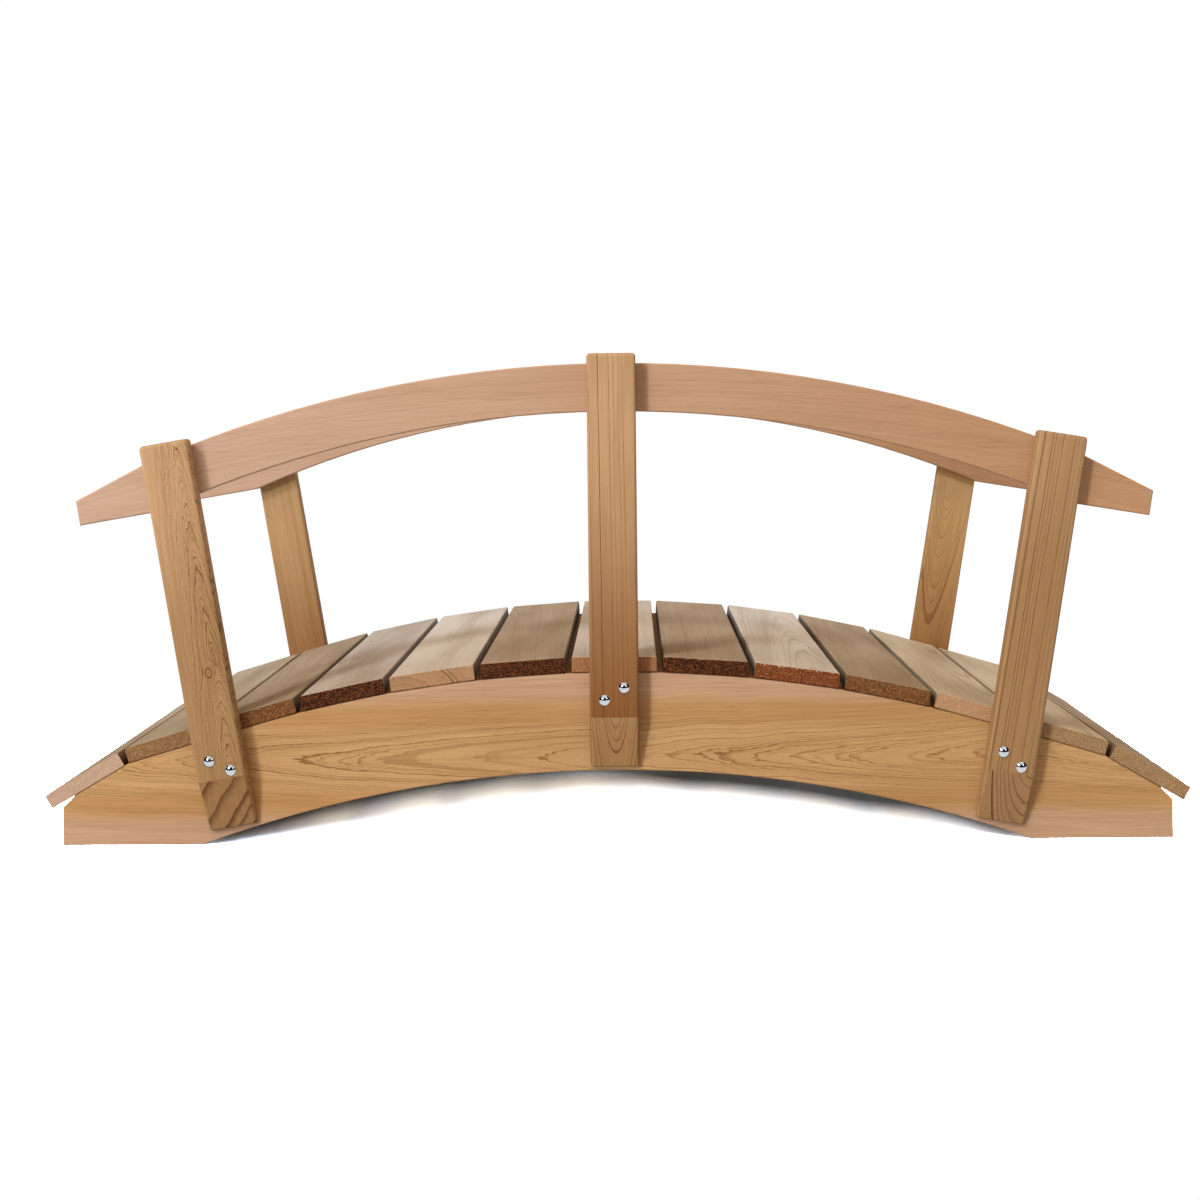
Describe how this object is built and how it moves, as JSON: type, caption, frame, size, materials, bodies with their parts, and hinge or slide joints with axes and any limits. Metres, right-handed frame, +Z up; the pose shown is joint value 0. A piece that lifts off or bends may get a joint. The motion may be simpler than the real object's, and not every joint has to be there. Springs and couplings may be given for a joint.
{
  "type": "moon bridge",
  "caption": "Small arched cedar footbridge: cross planks on two cut stringers, bolted posts and an arched rail on each side, for a garden path or stream.",
  "frame": {"origin": "on the ground under the middle of the bridge", "axes": "+X along the bridge, +Y across it, away from the pictured side, +Z up"},
  "size_m": [1.8868, 0.761, 0.804],
  "materials": {
    "stringer_cedar": "planed, unfinished",
    "plank_cedar": "sawn, unfinished",
    "post_cedar": "planed, unfinished",
    "rail_cedar": "planed, unfinished",
    "zinc": "bright zinc plate"
  },
  "bodies": {
    "root": {"near_stringer": "stringer_cedar", "far_stringer": "stringer_cedar", "plank_01": "plank_cedar", "plank_02": "plank_cedar", "plank_03": "plank_cedar", "plank_04": "plank_cedar", "plank_05": "plank_cedar", "plank_06": "plank_cedar", "plank_07": "plank_cedar", "plank_08": "plank_cedar", "plank_09": "plank_cedar", "plank_10": "plank_cedar", "plank_11": "plank_cedar", "plank_12": "plank_cedar", "plank_13": "plank_cedar", "near_left_post": "post_cedar", "near_middle_post": "post_cedar", "near_right_post": "post_cedar", "far_left_post": "post_cedar", "far_middle_post": "post_cedar", "far_right_post": "post_cedar", "near_rail": "rail_cedar", "far_rail": "rail_cedar"}
  },
  "joints": []
}
